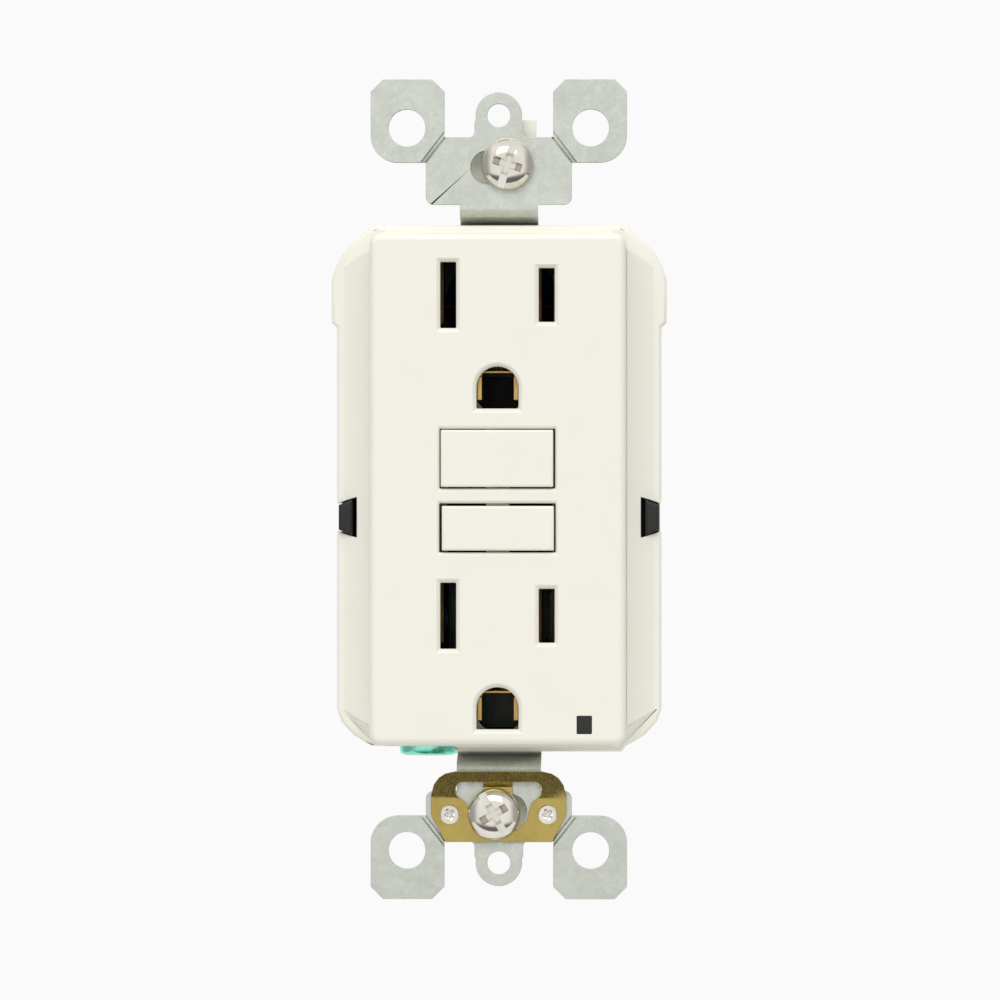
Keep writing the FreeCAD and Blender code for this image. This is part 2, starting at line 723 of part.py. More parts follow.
def middle_frame():
    """The insulating frame that carries the contacts and guides the buttons."""
    body = new_body("middle_frame")
    wide, high = 18.8, 31.6
    add(body, "front", d.frame_front, d.frame_rear, mirrored(
        (wide - 3.6, -high), (wide, 3.6 - high), (wide, high - 3.6), (wide - 3.6, high)))
    for up in (d.blade_up, d.blade_down):
        for side in SIDES.values():
            cut(body, "front", d.frame_front, d.frame_rear, centred(d.blade_across * side, up, 1.4, 4.8))
            place = sorted((3.85 * side, 4.5 * side))
            add(body, "front", -3.0, d.frame_front, rectangle(place[0], place[1], up - 4.9, up + 4.9))
    for up in (d.ground_up, d.ground_down):
        cut(body, "front", d.frame_front, d.frame_rear, circle(0, up - 0.35, d.pin_passage_radius))
    cut(body, "front", d.frame_front, d.frame_rear, circle(0, d.reset_up, 1.3))
    cut(body, "front", d.frame_front, d.frame_rear, circle(0, d.test_up, 1.35))
    cut(body, "front", d.frame_front, d.frame_rear, centred(d.window_across, d.window_up, 1.2, 1.4))
    cut(body, "front", d.frame_front, d.frame_rear, rectangle(-13.5, -5.3, -32, -29.6))
    for side in SIDES.values():
        leg = sorted((12.6 * side, 13.8 * side))
        plate = sorted((13.3 * side, 14.9 * side))
        cut(body, "front", d.frame_front, d.frame_rear, rectangle(*leg, 3.0, 6.8))
        cut(body, "front", d.frame_front, d.frame_rear, rectangle(*plate, d.bay_up - 4.7, d.bay_up + 4.7))
        for up in ENDS.values():
            cut(body, "front", d.frame_front, d.frame_rear, circle(d.boss_across * side, d.boss_up * up, 1.6))
        add(body, "front", d.frame_rear, 14.5, circle(6.0 * side, 2.2, 0.85))


# ---- conductors ------------------------------------------------------------------------------


def blade_grip(body, side, up):
    """Two sprung leaves joined past the end of the blade, and their tab to the bar."""
    gap = 0.75
    leaf = 0.6
    across = d.blade_across * side
    inner, outer = across - gap * side, across + gap * side
    low, high = up - 3.6, up + 4.3
    add(body, "front", -2.0, 2.7, polygon(
        (inner, low), (inner - leaf * side, low), (inner - leaf * side, high + leaf),
        (outer + leaf * side, high + leaf), (outer + leaf * side, low), (outer, low), (outer, high),
        (inner, high)))


def face_bar(name, side):
    """One pole's bar behind the face: two blade grips, the load terminal and a fixed contact arm."""
    body = new_body(name)
    front, back = 2.7, 3.5
    bar_inner, bar_outer = 10.4 * side, 13.6 * side
    bar = sorted((bar_inner, bar_outer))
    add(body, "front", front, back, rectangle(*bar, -20, 29))
    for up in (d.blade_up, d.blade_down):
        tab = sorted((d.blade_across * side + 0.75 * side, as_size(bar_inner)), key=float)
        add(body, "front", front, back, rectangle(*tab, up - 2.5, up + 2.5))
        blade_grip(body, side, up)
    plate = sorted((13.6 * side, 14.6 * side))
    reach = sorted((13.0 * side, 14.6 * side))
    add(body, "front", front, back, rectangle(*reach, d.bay_up - 4.4, d.bay_up + 4.4))
    add(body, "front", back - 0.1, 15.6, rectangle(*plate, d.bay_up - 4.4, d.bay_up + 4.4))
    cut(body, "side", *plate, circle(d.terminal_depth, d.bay_up, 2.06))
    leg = sorted((12.8 * side, 13.6 * side))
    arm = sorted((8.0 * side, 13.6 * side))
    add(body, "front", back - 0.1, 7.0, rectangle(*leg, 3.2, 6.6))
    add(body, "front", 6.2, 7.0, rectangle(*arm, 3.2, 6.6))


def line_terminal(name, side):
    """One pole's supply terminal, with the arm that carries its fixed contact."""
    body = new_body(name)
    up = -d.bay_up
    plate = sorted((13.6 * side, 14.6 * side))
    foot = sorted((9.9 * side, 14.6 * side))
    strip = sorted((9.9 * side, 12.0 * side))
    arm = sorted((8.0 * side, 12.0 * side))
    add(body, "front", 6.2, 15.6, rectangle(*plate, up - 4.4, up + 4.4))
    cut(body, "side", *plate, circle(d.terminal_depth, up, 2.06))
    add(body, "front", 6.2, 7.0, rectangle(*foot, up - 4.4, up + 4.4))
    add(body, "front", 6.2, 7.0, rectangle(*strip, up, -0.8))
    add(body, "front", 6.2, 7.0, rectangle(*arm, -4.2, -0.8))


def contact_buttons(name, low, high):
    places = [(9.6 * side, up) for side in SIDES.values() for up in (4.9, -2.5)]
    buttons = [rod("%s_%d" % (name, number), "y", place, low, high, 1.3)
               for number, place in enumerate(places, start=1)]
    finished(group(name, *buttons), name)


# ---- buttons, carrier and latch --------------------------------------------------------------


def push_button(name, up, cap, stem_radius, stem_end):
    """A button cap with retaining tabs above and below, hollow behind, and a stem in the middle."""
    body = new_body(name)
    tab_front = d.face_front + d.face_plate + 0.15
    tab_back = tab_front + 1.0
    tab = 0.9
    left, right, low, high = cap
    wall = 1.1
    add(body, "front", d.button_front, tab_back, rectangle(left, right, low, high))
    soften(body, "Fillet", 0.35, y=at(d.button_front))
    add(body, "front", tab_front, tab_back, rectangle(-1.5, 1.5, low - tab, high + tab))
    cut(body, "front", d.button_front + 1.4, tab_back, rectangle(
        left + wall, right - wall, low + wall, high - wall))
    add(body, "front", d.button_front + 1.0, -2.4, circle(0, up, 2.4))
    if stem_end:
        add(body, "front", -2.6, stem_end, circle(0, up, stem_radius))
    else:
        cut(body, "front", -6.5, -2.4, circle(0, up, stem_radius))


def reset_pin():
    """The steel pin whose cone hooks behind the latch plate."""
    name = "reset_pin"
    place = (0, d.reset_up)
    shank = rod(name + "_shank", "y", place, -6.4, 11.0, d.pin_radius)
    cone = doc.addObject("Part::Cone", name + "_cone")
    bind(cone, "Radius1", d.pin_radius)
    bind(cone, "Radius2", 1.9)
    bind(cone, "Height", 0.8)
    cone.Placement = FreeCAD.Placement(FreeCAD.Vector(0, 10.9, float(d.reset_up)), TURNS["y"])
    head = rod(name + "_head", "y", place, 11.7, 12.6, 1.9)
    finished(joined(name, shank, cone, head), name)


def contact_carrier():
    """The sliding block that holds the bridging contacts and houses the latch plate."""
    body = new_body("contact_carrier")
    add(body, "front", 8.6, 12.6, rectangle(-4.8, 4.8, -0.4, 8.2))
    for side in SIDES.values():
        arm = sorted((4.6 * side, 8.0 * side))
        wing = sorted((7.8 * side, 11.3 * side))
        add(body, "front", 8.8, 10.4, rectangle(*arm, 1.0, 6.5))
        add(body, "front", 8.8, 10.4, rectangle(*wing, -3.9, 6.3))
        cut(body, "front", 8.8, 10.4, circle(6.0 * side, 2.2, 1.0))
    cut(body, "top", -0.4, 8.2, rectangle(-3.6, 3.6, 9.9, 10.9))
    cut(body, "front", 8.6, 12.6, circle(0, d.reset_up, 2.3))


def latch_plate():
    """The hardened plate whose edge holds the pin's cone until the plunger pushes it away."""
    body = new_body("latch_plate")
    front, back = 10.0, 10.8
    edge_gap = 1.2
    relief = 3.7
    add(body, "front", front, back, rectangle(-3.4, 3.4, -1.2, 6.6))
    add(body, "front", front, back, rectangle(-2.2, 2.2, -3.2, -1.2))
    add(body, "front", back - 0.1, 17.0, rectangle(-2.2, 2.2, -3.2, -2.4))
    cut(body, "front", front, back, rectangle(-2.2, 2.2, d.reset_up - relief, d.reset_up + edge_gap))


def bridge(name, side):
    left, right = sorted((8.2 * side, 11.0 * side))
    finished(block(name, (left, right), (8.0, 8.8), (-3.8, 6.2)), name)


# ---- trip coil, sensors and board ------------------------------------------------------------


def solenoid():
    body = new_body("solenoid_frame")
    half = 5.0
    front, back = 10.0, 19.4
    plate = 1.0
    add(body, "top", -8.0, -8.0 + plate, rectangle(-half, half, front, back))
    add(body, "top", -25.2, -25.2 + plate, rectangle(-half, half, front, back))
    add(body, "top", -25.2, -7.0, rectangle(-half, half, back - 0.05, 19.9))
    cut(body, "top", -8.0, -7.0, circle(0, d.solenoid_depth, 1.5))
    bobbin = new_body("solenoid_bobbin")
    axis = (0, d.solenoid_depth)
    low, high = -24.1, -8.1
    flange = 1.0
    add(bobbin, "top", low, high, circle(*axis, 2.7))
    add(bobbin, "top", low, low + flange, circle(*axis, 4.4))
    add(bobbin, "top", high - flange, high, circle(*axis, 4.4))
    cut(bobbin, "top", low, high, circle(*axis, 2.0))
    winding = sleeve("solenoid_coil", "z", axis, low + flange + 0.1, high - flange - 0.1, 4.2, 2.75)
    finished(winding, "solenoid_coil")
    slug = rod("plunger_slug", "z", axis, -23.4, -14.0, 1.8)
    push_rod = rod("plunger_rod", "z", axis, -14.5, -3.4, 1.2)
    finished(joined("solenoid_plunger", slug, push_rod), "solenoid_plunger")
    finished(sleeve("plunger_spring", "z", axis, -13.9, -8.2, 1.8, 1.3), "plunger_spring")


def toroid(name, front):
    finished(sleeve(name, "y", (0, d.toroid_up), front, front + 3.7, 7.4, 3.4), name)


def line_conductors():
    """Two bare loops that carry the supply through both sensing rings."""
    loops = []
    radius = 0.7
    crossing = 11.2
    for name, side in SIDES.items():
        inner, outer = 1.3 * side, 9.2 * side
        body = doc.addObject("PartDesign::Body", "conductor_" + name)
        route = new_sketch(body, "top", d.toroid_up)
        bend = 1.4
        turn = bend * side
        quarter = bend * (1 - math.sqrt(0.5))
        places = [
            (inner, float(d.board_front)), (inner, crossing + bend),
            (inner + quarter * side, crossing + quarter),
            (inner + turn, crossing), (outer - turn, crossing), (outer - quarter * side, crossing + quarter),
            (outer, crossing + bend), (outer, float(d.board_front))]
        spots = [flat(place) for place in places]
        route.addGeometry(Part.LineSegment(spots[0], spots[1]), False)
        route.addGeometry(Part.Arc(spots[1], spots[2], spots[3]), False)
        route.addGeometry(Part.LineSegment(spots[3], spots[4]), False)
        route.addGeometry(Part.Arc(spots[4], spots[5], spots[6]), False)
        route.addGeometry(Part.LineSegment(spots[6], spots[7]), False)
        section = new_sketch(body, "front", d.board_front)
        circle(inner, d.toroid_up, radius)(section)
        pipe = body.newObject("PartDesign::AdditivePipe", "conductor_pipe_" + name)
        pipe.Profile = (section, [""])
        pipe.Spine = (route, [])
        loops.append(body)
    finished(group("line_conductors", *loops), "line_conductors")


def board_and_parts():
    back = d.board_front
    board = block("circuit_board", (-11.8, 11.8), (back, back + d.board_thickness), (-31.4, 31.4))
    finished(board, "circuit_board")
    disc = rod("absorber_disc", "x", (14.9, -17.0), -10.8, -7.0, 4.7)
    legs = [rod("absorber_leg_%d" % number, "y", (-8.9, up), 17.0, back, 0.4)
            for number, up in enumerate((-19.5, -14.5), start=1)]
    finished(joined("surge_absorber", disc, *legs), "surge_absorber")
    finished(block("filter_capacitor", (6.2, 11.2), (14.4, back), (-22.0, -11.5)), "filter_capacitor")
    finished(block("control_chip", (-3.2, 3.2), (16.8, back), (6.6, 14.6)), "control_chip")
    can = rod("thyristor_can", "y", (7.4, 11.5), 15.2, back, 2.4)
    flat_side = block("thyristor_flat", (8.7, 12.0), (15.0, back + 1), (8.0, 15.0))
    finished(less("trip_thyristor", can, flat_side), "trip_thyristor")
    resistors = [rod("resistor_%d" % number, "z", (across, back - 1.0), low, low + 5.5, 0.95)
                 for number, (across, low) in enumerate(((9.6, -7.0), (-9.6, -7.5), (-9.6, 9.0)), start=1)]
    finished(group("resistors", *resistors), "resistors")
    finished(block("indicator_lamp", (10.5, 11.7), (18.6, back), (-30.9, -29.8)), "indicator_lamp")
    pins = [rod("test_terminal_" + name, "y", (3.2 * side, d.test_up), 8.6, back, 0.35)
            for name, side in SIDES.items()]
    finished(group("test_terminals", *pins), "test_terminals")
    pipe = block(
        "light_pipe",
        (d.window_across - d.window_width / 2 + 0.05, d.window_across + d.window_width / 2 - 0.05),
        (d.face_front + 0.15, 18.4),
        (d.window_up - d.window_height / 2 + 0.05, d.window_up + d.window_height / 2 - 0.05))
    finished(pipe, "light_pipe")


# ---- screws and clamps -----------------------------------------------------------------------


def drive_recess(body, plane, low, high, centre, angle, size):
    """A straight slot with a cross slot that is shorter, as a combination head has."""
    for turn, half_length, width in ((0, size, 1.1), (90, size * 0.62, 0.95)):
        way = math.radians(angle + turn)
        reach = FreeCAD.Vector(math.cos(way), math.sin(way), 0) * half_length
        middle = flat(centre)
        start, end = middle - reach, middle + reach
        cut(body, plane, low, high, stripe((start.x, start.y), (end.x, end.y), width))


def mounting_screw(name, across, up, seat, angle):
    body = new_body(name)
    head = 2.2
    add(body, "front", seat, seat + 25.4, circle(across, up, d.mounting_shank_radius))
    add(body, "front", seat - head, seat, circle(across, up, d.mounting_head_radius))
    soften(body, "Fillet", 1.5, y=at(seat - head))
    soften(body, "Chamfer", 0.6, y=at(seat + 25.4))
    drive_recess(body, "front", seat - head, seat - 1.0, (across, up), angle, 3.6)


def screw_retainer(name, across, up, outline):
    """A fibre washer that keeps a mounting screw in its slot."""
    body = new_body(name)
    add(body, "front", 1.5, 2.5, polygon(*outline))
    cut(body, "front", 1.5, 2.5, circle(across, up, d.mounting_shank_radius + 0.06))


def terminal_screw(name, side, up):
    body = new_body(name)
    under, head, tip = 16.8, 2.2, 12.1
    axis = (d.terminal_depth, d.bay_up * up)
    ends = sorted((tip * side, under * side))
    cap = sorted((under * side, (under + head) * side))
    add(body, "side", *ends, circle(*axis, d.terminal_shank_radius))
    add(body, "side", *cap, circle(*axis, d.terminal_head_radius))
    outer = (under + head) * side
    soften(body, "Fillet", 0.7, x=at(outer))
    slot = sorted((outer, outer - 1.2 * side))
    drive_recess(body, "side", *slot, axis, 35, 4.6)


def wire_clamp(name, side, up):
    body = new_body(name)
    faces = sorted((15.4 * side, 16.6 * side))
    axis = (d.terminal_depth, d.bay_up * up)
    add(body, "side", *faces, centred(*axis, 4.1, 4.3))
    cut(body, "side", *faces, circle(*axis, 2.3))
    inner = 15.4 * side
    grooves = sorted((inner, inner + 0.35 * side))
    for offset in (-2.9, 2.9):
        cut(body, "side", *grooves, centred(d.terminal_depth, d.bay_up * up + offset, 4.2, 0.7))


def ground_terminal():
    axis = (d.ground_screw_across, d.ground_screw_depth)
    screw = new_body("ground_screw")
    under = -33.0
    head = 1.7
    add(screw, "top", under, -27.4, circle(*axis, d.terminal_shank_radius))
    add(screw, "top", under - head, under, circle(*axis, 3.7))
    soften(screw, "Fillet", 0.6, z=at(under - head))
    drive_recess(screw, "top", under - head, under - 0.6, axis, 90, 4.2)
    clamp = new_body("ground_clamp")
    add(clamp, "top", -32.9, -31.9, centred(*axis, 3.7, 3.5))
    cut(clamp, "top", -32.9, -31.9, circle(*axis, 2.3))


def assembly_screws():
    screws = []
    for side_name, side in SIDES.items():
        for end_name, up in ENDS.items():
            tag = "%s_%s" % (side_name, end_name)
            place = (d.boss_across * side, d.boss_up * up)
            shank = rod("assembly_shank_" + tag, "y", place, 0.4, 12.0, 1.15)
            head = rod("assembly_head_" + tag, "y", place, 12.0, 13.8, 2.3)
            cross = [block("assembly_cross_%s_%d" % (tag, number), (place[0] - wide, place[0] + wide),
                           (12.9, 14.0), (place[1] - tall, place[1] + tall))
                     for number, (wide, tall) in enumerate(((1.5, 0.35), (0.35, 1.5)), start=1)]
            screws.append(less("assembly_screw_" + tag, joined("assembly_blank_" + tag, shank, head), *cross))
    finished(group("assembly_screws", *screws), "assembly_screws")


# ---- the assembly ----------------------------------------------------------------------------

mounting_strap()
ground_contact("upper_ground_contact", d.ground_up)
ground_contact("lower_ground_contact", d.ground_down)
self_grounding_clip()
clip_rivets()
front_cover()
rear_housing()
middle_frame()
for pole, side in SIDES.items():
    face_bar(pole + "_face_bar", side)
    line_terminal(pole + "_line_terminal", side)
    bridge(pole + "_contact_bridge", side)
    for use, up in (("load", 1), ("line", -1)):
        terminal_screw("%s_%s_screw" % (pole, use), side, up)
        wire_clamp("%s_%s_clamp" % (pole, use), side, up)
contact_buttons("fixed_contacts", 7.0, 7.5)
contact_buttons("moving_contacts", 7.55, 8.0)
reset_cap = (0.16 - d.reset_half_width, d.reset_half_width - 0.26,
             d.reset_up - d.reset_half_height + 0.2, d.reset_up + d.reset_half_height - 0.14)
push_button("reset_button", d.reset_up, reset_cap, 1.15, None)
test_cap = (0.36 - d.test_half_width, d.test_half_width - 0.22,
            d.test_up - d.test_half_height + 0.24, d.test_up + d.test_half_height - 0.34)
push_button("test_button", d.test_up, test_cap, 1.2, 6.4)
reset_pin()
finished(block("test_bridge", (-4.0, 4.0), (6.45, 6.95), (d.test_up - 1.1, d.test_up + 1.1)), "test_bridge")
contact_carrier()
latch_plate()
solenoid()
toroid("fault_sensing_ring", 12.0)
toroid("neutral_sensing_ring", 15.9)
line_conductors()
board_and_parts()
ground_terminal()
upper_screw_place, lower_screw_place = (1.15, 42.05), (-0.6, -42.05)
mounting_screw("upper_mounting_screw", *upper_screw_place, -d.strap_thickness, 73)
mounting_screw("lower_mounting_screw", *lower_screw_place, -d.strap_thickness - 0.4, 120)
screw_retainer("upper_screw_retainer", *upper_screw_place, (
    (-4.6, 38.2), (4.8, 38.2), (4.8, 47.9), (2.6, 47.9), (2.6, 45.6), (-4.6, 45.6)))
screw_retainer("lower_screw_retainer", *lower_screw_place, (
    (-5.2, -45.3), (4.8, -45.3), (4.8, -38.4), (-5.2, -38.4)))
assembly_screws()
finished(sleeve("reset_spring", "y", (0, d.reset_up), -2.3, 3.5, 2.4, 1.5), "reset_spring")
finished(sleeve("test_spring", "y", (0, d.test_up), -2.3, 3.5, 2.3, 1.5), "test_spring")
carrier_springs = [sleeve("carrier_spring_" + name, "y", (6.0 * side, 5.0), 6.05, 8.75, 1.2, 0.75)
                   for name, side in SIDES.items()]
finished(group("carrier_springs", *carrier_springs), "carrier_springs")

doc.recompute()
for item in doc.Objects:
    if "Invalid" in item.State or "Error" in item.State:
        raise ValueError("%s failed: %s" % (item.Label, item.State))
for piece in pieces:
    if piece.Shape.isNull() or not piece.Shape.isValid():
        raise ValueError("%s has no valid shape" % piece.Label)
for piece in pieces:
    piece.Shape.exportStep("parts/%s.step" % piece.Label)
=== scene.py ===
"""Looks of a duplex ground-fault receptacle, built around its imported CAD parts. Lengths are in metres."""

import math
from collections import namedtuple

import bmesh
import bpy
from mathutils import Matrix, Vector


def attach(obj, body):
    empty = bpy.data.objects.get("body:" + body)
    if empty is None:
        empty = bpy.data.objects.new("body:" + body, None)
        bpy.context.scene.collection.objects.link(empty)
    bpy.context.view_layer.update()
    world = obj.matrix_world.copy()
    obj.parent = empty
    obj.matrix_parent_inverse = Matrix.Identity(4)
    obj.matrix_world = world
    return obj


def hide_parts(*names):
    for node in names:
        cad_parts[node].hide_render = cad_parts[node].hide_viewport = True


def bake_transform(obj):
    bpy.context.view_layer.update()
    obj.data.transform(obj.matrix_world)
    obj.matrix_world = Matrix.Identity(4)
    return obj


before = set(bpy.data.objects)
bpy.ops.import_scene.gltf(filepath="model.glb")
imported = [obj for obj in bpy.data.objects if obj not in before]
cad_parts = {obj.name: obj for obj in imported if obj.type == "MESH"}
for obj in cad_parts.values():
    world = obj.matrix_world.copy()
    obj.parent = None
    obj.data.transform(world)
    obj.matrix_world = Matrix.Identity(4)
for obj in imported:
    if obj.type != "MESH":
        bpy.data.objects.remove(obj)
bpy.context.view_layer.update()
MM = 0.001
scene = bpy.context.scene

TO_BACK, TO_FRONT, UP, DOWN = (0, 1, 0), (0, -1, 0), (0, 0, 1), (0, 0, -1)
CENTRE = 0.02  # radius in mm of the disc that closes a turned shape at its axis
SEAT_OVERLAP = -0.02  # height in mm at which a thread starts, just inside its head
PITCH = 25.4 / 32  # mm, of a thread with 32 turns to the inch
CROSS = math.pi / 2  # turn between the two strokes of a cross

Thread = namedtuple("Thread", "end crest root pitch")
Recess = namedtuple("Recess", "turn half_width half_length top bottom shrink")

SLOTS = {
    "almond_plastic": ["front_cover", "reset_button", "test_button"],
    "black_plastic": ["rear_housing", "middle_frame"],
    "white_plastic": ["contact_carrier", "solenoid_bobbin"],
    "galvanised_steel": ["mounting_strap"],
    "nickel_plate": ["upper_mounting_screw", "lower_mounting_screw", "clip_rivets",
                     "neutral_line_screw", "neutral_load_screw"],
    "zinc_plate": ["hot_line_clamp", "hot_load_clamp", "neutral_line_clamp", "neutral_load_clamp",
                   "ground_clamp", "assembly_screws", "neutral_line_terminal", "latch_plate", "reset_pin"],
    "clip_brass": ["self_grounding_clip", "hot_line_screw", "hot_load_screw", "hot_line_terminal"],
    "contact_brass": ["upper_ground_contact", "lower_ground_contact", "hot_face_bar", "neutral_face_bar",
                      "hot_contact_bridge", "neutral_contact_bridge", "test_bridge", "test_terminals"],
    "contact_silver": ["fixed_contacts", "moving_contacts"],
    "green_screw": ["ground_screw"],
    "spring_steel": ["reset_spring", "test_spring", "plunger_spring", "carrier_springs"],
    "coil_iron": ["solenoid_frame", "solenoid_plunger"],
    "copper": ["solenoid_coil", "line_conductors"],
    "ring_epoxy": ["fault_sensing_ring", "neutral_sensing_ring"],
    "board_laminate": ["circuit_board"],
    "component_black": ["control_chip", "trip_thyristor"],
    "absorber_blue": ["surge_absorber"],
    "capacitor_yellow": ["filter_capacitor"],
    "resistor_body": ["resistors"],
    "lamp_body": ["indicator_lamp"],
    "smoked_lens": ["light_pipe"],
    "fibre": ["upper_screw_retainer", "lower_screw_retainer"],
}


# ---- finishes --------------------------------------------------------------------------------


def linear(colour):
    """A display colour of 0 to 255 as the linear values that a shader takes."""
    shares = [channel / 255 for channel in colour]
    return [s / 12.92 if s <= 0.04045 else ((s + 0.055) / 1.055) ** 2.4 for s in shares] + [1.0]


class Shader:
    """A node tree for one finish. An input is a number, a colour or another node's output."""

    def __init__(self, name):
        self.material = bpy.data.materials.new(name)
        self.material.use_nodes = True
        self.tree = self.material.node_tree
        self.tree.nodes.clear()
        self.place = self.add("ShaderNodeTexCoord").outputs["Object"]

    def add(self, kind, inputs=None, **settings):
        node = self.tree.nodes.new(kind)
        for key, value in settings.items():
            setattr(node, key, value)
        for key, value in (inputs or {}).items():
            self.feed(node.inputs[key], value)
        return node

    def feed(self, socket, value):
        if isinstance(value, bpy.types.NodeSocket):
            self.tree.links.new(value, socket)
        else:
            socket.default_value = value

    def noise(self, size, detail=3.0, rough=0.55):
        """Cloudy noise whose features are about size millimetres across."""
        inputs = {"Vector": self.place, "Scale": 1 / (size * MM), "Detail": detail, "Roughness": rough}
        return self.add("ShaderNodeTexNoise", inputs).outputs["Fac"]

    def spread(self, value, low, high, start=0.0, end=1.0):
        inputs = {"Value": value, "From Min": start, "From Max": end, "To Min": low, "To Max": high}
        return self.add("ShaderNodeMapRange", inputs).outputs["Result"]

    def mix(self, share, first, second):
        node = self.add("ShaderNodeMix", data_type="RGBA")
        self.feed(node.inputs[0], share)
        self.feed(node.inputs[6], first)
        self.feed(node.inputs[7], second)
        return node.outputs[2]

    def bump(self, height, depth, share=1.0, under=None):
        inputs = {"Height": height, "Distance": depth * MM, "Strength": share}
        if under:
            inputs["Normal"] = under
        return self.add("ShaderNodeBump", inputs).outputs["Normal"]

    def finish(self, colour, rough, metal=0.0, normal=None, **more):
        inputs = {"Base Color": colour, "Roughness": rough, "Metallic": metal}
        inputs.update({key.replace("_", " "): value for key, value in more.items()})
        if normal:
            inputs["Normal"] = normal
        surface = self.add("ShaderNodeBsdfPrincipled", inputs)
        self.add("ShaderNodeOutputMaterial", {"Surface": surface.outputs["BSDF"]})
        return self.material


def worn(shader, colour, darker, size=6.0, share=0.5):
    """The colour with soft uneven patches, as handling and moulding leave it."""
    patches = shader.spread(shader.noise(size), 0.0, share, 0.35, 0.75)
    return shader.mix(patches, linear(colour), linear(darker))


def plastic(name, colour, darker, rough=0.38, grain=0.012, grain_size=0.35, **more):
    shader = Shader(name)
    tone = worn(shader, colour, darker)
    gloss = shader.spread(shader.noise(2.2, 5.0), rough - 0.05, rough + 0.07, 0.3, 0.7)
    skin = shader.bump(shader.noise(grain_size, 2.0), grain)
    wave = shader.bump(shader.noise(9.0, 1.0), 0.05, 0.5, skin)
    return shader.finish(tone, gloss, normal=wave, **more)


def metal(name, colour, darker, rough=0.3, grain=0.006, grain_size=0.3, patch=3.0, share=0.7, **more):
    shader = Shader(name)
    tone = worn(shader, colour, darker, patch, share)
    gloss = shader.spread(shader.noise(1.4, 6.0), rough * 0.75, rough * 1.35, 0.3, 0.7)
    skin = shader.bump(shader.noise(grain_size, 3.0), grain)
    return shader.finish(tone, gloss, 1.0, skin, **more)


def galvanised():
    """Dull zinc with flat crystals, fine mottling and a few darker stains."""
    shader = Shader("galvanised_steel")
    cells = shader.add("ShaderNodeTexVoronoi", {"Vector": shader.place, "Scale": 1 / (1.5 * MM)})
    crystal = shader.add("ShaderNodeSeparateColor", {"Color": cells.outputs["Color"]}).outputs["Red"]
    grey, light = linear((192, 196, 187)), linear((206, 210, 201))
    fine = shader.spread(shader.noise(0.5, 6.0), 0.0, 0.4, 0.4, 0.7)
    stains = shader.spread(shader.noise(5.0, 4.0), 0.0, 0.25, 0.52, 0.75)
    base = shader.mix(shader.spread(crystal, 0.0, 0.55), light, grey)
    mottled = shader.mix(fine, base, linear((180, 184, 175)))
    stained = shader.mix(stains, mottled, linear((164, 166, 154)))
    gloss = shader.spread(shader.noise(0.9, 5.0), 0.34, 0.56, 0.3, 0.7)
    skin = shader.bump(shader.noise(0.22, 4.0), 0.012)
    flats = shader.bump(crystal, 0.01, 0.5, skin)
    return shader.finish(stained, gloss, 0.85, flats)


def brushed_brass(name, colour, darker, rough):
    """Rolled brass strip: fine lines along it and a few tarnished patches."""
    shader = Shader(name)
    tone = worn(shader, colour, darker, 3.5, 0.8)
    stretched = shader.add("ShaderNodeMapping", {"Vector": shader.place, "Scale": (1.0, 1.0, 0.06)})
    lines = shader.add("ShaderNodeTexNoise", {
        "Vector": stretched.outputs["Vector"], "Scale": 1 / (0.12 * MM)})
    gloss = shader.spread(lines.outputs["Fac"], rough * 0.7, rough * 1.5, 0.3, 0.7)
    skin = shader.bump(lines.outputs["Fac"], 0.0012)
    return shader.finish(tone, gloss, 1.0, skin)


def laminate():
    """Solder mask over copper tracks."""
    shader = Shader("board_laminate")
    cells = shader.add("ShaderNodeTexBrick", {
        "Vector": shader.place, "Scale": 1 / (9.0 * MM), "Color1": linear((24, 96, 56)),
        "Color2": linear((20, 84, 48)), "Mortar": linear((14, 60, 36)), "Mortar Size": 0.02})
    clouds = shader.spread(shader.noise(1.5), 0.0, 0.4)
    tone = shader.mix(clouds, cells.outputs["Color"], linear((12, 66, 40)))
    skin = shader.bump(shader.noise(0.6, 2.0), 0.01)
    return shader.finish(tone, shader.spread(shader.noise(2.0), 0.22, 0.36), normal=skin)


